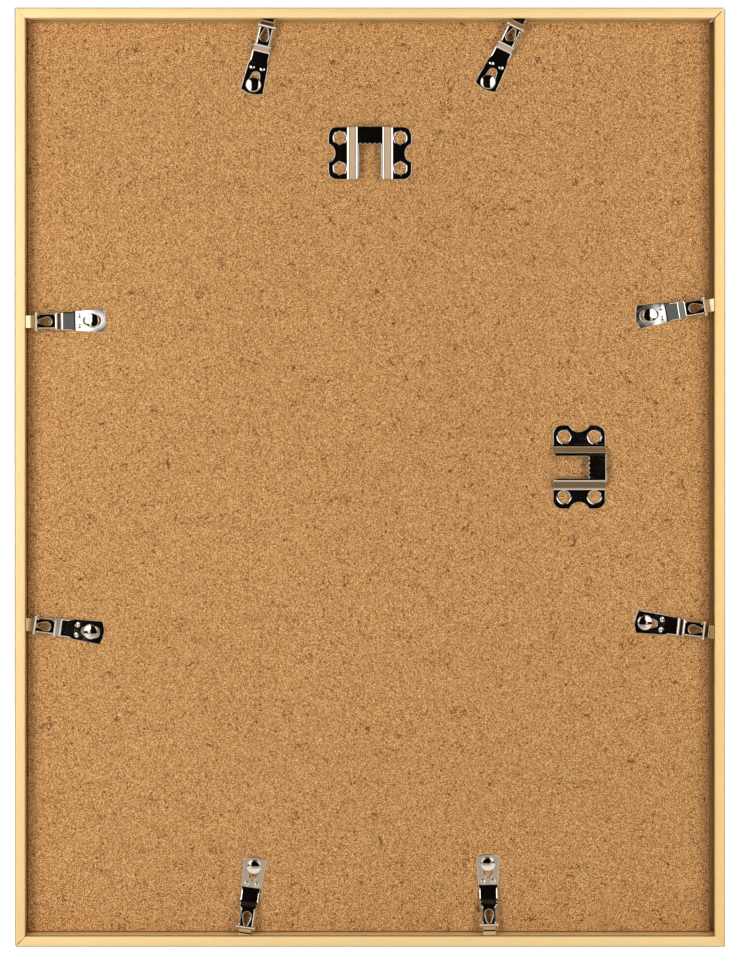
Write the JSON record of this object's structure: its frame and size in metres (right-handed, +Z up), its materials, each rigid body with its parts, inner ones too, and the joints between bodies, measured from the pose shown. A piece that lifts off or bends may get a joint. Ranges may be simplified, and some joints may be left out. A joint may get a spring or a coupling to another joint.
{
  "type": "picture frame",
  "caption": "Slim gold picture frame for a 30 by 40 cm sheet, with mitred rails, a hardboard back held by turn clips, and sawtooth hangers for both ways up.",
  "frame": {"origin": "the nail seat of the portrait hanger, in the plane of the wall that the back rim rests on", "axes": "+Z up as the frame hangs in portrait, +Y out of the back to the wall, +X to the left as the back is looked at"},
  "size_m": [0.3104, 0.015, 0.4105],
  "materials": {
    "gold_rail": "pale gold anodised, satin",
    "key_steel": "plain stamped steel",
    "clear_glass": "clear float glass with ground edges",
    "insert_paper": "plain off-white paper",
    "hardboard": "smooth brown hardboard with dark fibre specks",
    "hanger_nickel": "bright nickel-plated steel",
    "clip_nickel": "bright nickel-plated spring steel",
    "rivet_nickel": "bright nickel-plated steel"
  },
  "bodies": {
    "frame": {"top_rail": "gold_rail", "bottom_rail": "gold_rail", "left_rail": "gold_rail", "right_rail": "gold_rail", "key_top_left": "key_steel", "key_top_right": "key_steel", "key_bottom_left": "key_steel", "key_bottom_right": "key_steel", "glass_pane": "clear_glass", "insert_sheet": "insert_paper", "backing_board": "hardboard", "portrait_hanger": "hanger_nickel", "landscape_hanger": "hanger_nickel", "rivet_top_left": "rivet_nickel", "rivet_top_right": "rivet_nickel", "rivet_left_upper": "rivet_nickel", "rivet_left_lower": "rivet_nickel", "rivet_right_upper": "rivet_nickel", "rivet_right_lower": "rivet_nickel", "rivet_bottom_left": "rivet_nickel", "rivet_bottom_right": "rivet_nickel"},
    "clip_top_left": {"clip_top_left": "clip_nickel"},
    "clip_top_right": {"clip_top_right": "clip_nickel"},
    "clip_left_upper": {"clip_left_upper": "clip_nickel"},
    "clip_left_lower": {"clip_left_lower": "clip_nickel"},
    "clip_right_upper": {"clip_right_upper": "clip_nickel"},
    "clip_right_lower": {"clip_right_lower": "clip_nickel"},
    "clip_bottom_left": {"clip_bottom_left": "clip_nickel"},
    "clip_bottom_right": {"clip_bottom_right": "clip_nickel"}
  },
  "joints": [
    {"name": "turn_top_left", "type": "hinge", "parent": "frame", "child": "clip_top_left", "pos_m": [0.0513, -0.0082, 0.02599], "axis": [0, 1, 0], "range_deg": [-180, 180]},
    {"name": "turn_top_right", "type": "hinge", "parent": "frame", "child": "clip_top_right", "pos_m": [-0.0519, -0.0082, 0.02719], "axis": [0, 1, 0], "range_deg": [-300, 5]},
    {"name": "turn_left_upper", "type": "hinge", "parent": "frame", "child": "clip_left_upper", "pos_m": [0.12226, -0.0082, -0.07785], "axis": [0, 1, 0], "range_deg": [-180, 180]},
    {"name": "turn_left_lower", "type": "hinge", "parent": "frame", "child": "clip_left_lower", "pos_m": [0.12279, -0.0082, -0.21465], "axis": [0, 1, 0], "range_deg": [-180, 180]},
    {"name": "turn_right_upper", "type": "hinge", "parent": "frame", "child": "clip_right_upper", "pos_m": [-0.12307, -0.0082, -0.07545], "axis": [0, 1, 0], "range_deg": [-180, 180]},
    {"name": "turn_right_lower", "type": "hinge", "parent": "frame", "child": "clip_right_lower", "pos_m": [-0.121, -0.0082, -0.21065], "axis": [0, 1, 0], "range_deg": [-180, 180]},
    {"name": "turn_bottom_left", "type": "hinge", "parent": "frame", "child": "clip_bottom_left", "pos_m": [0.051, -0.0082, -0.31821], "axis": [0, 1, 0], "range_deg": [-180, 180]},
    {"name": "turn_bottom_right", "type": "hinge", "parent": "frame", "child": "clip_bottom_right", "pos_m": [-0.0519, -0.0082, -0.31692], "axis": [0, 1, 0], "range_deg": [-180, 180]}
  ]
}
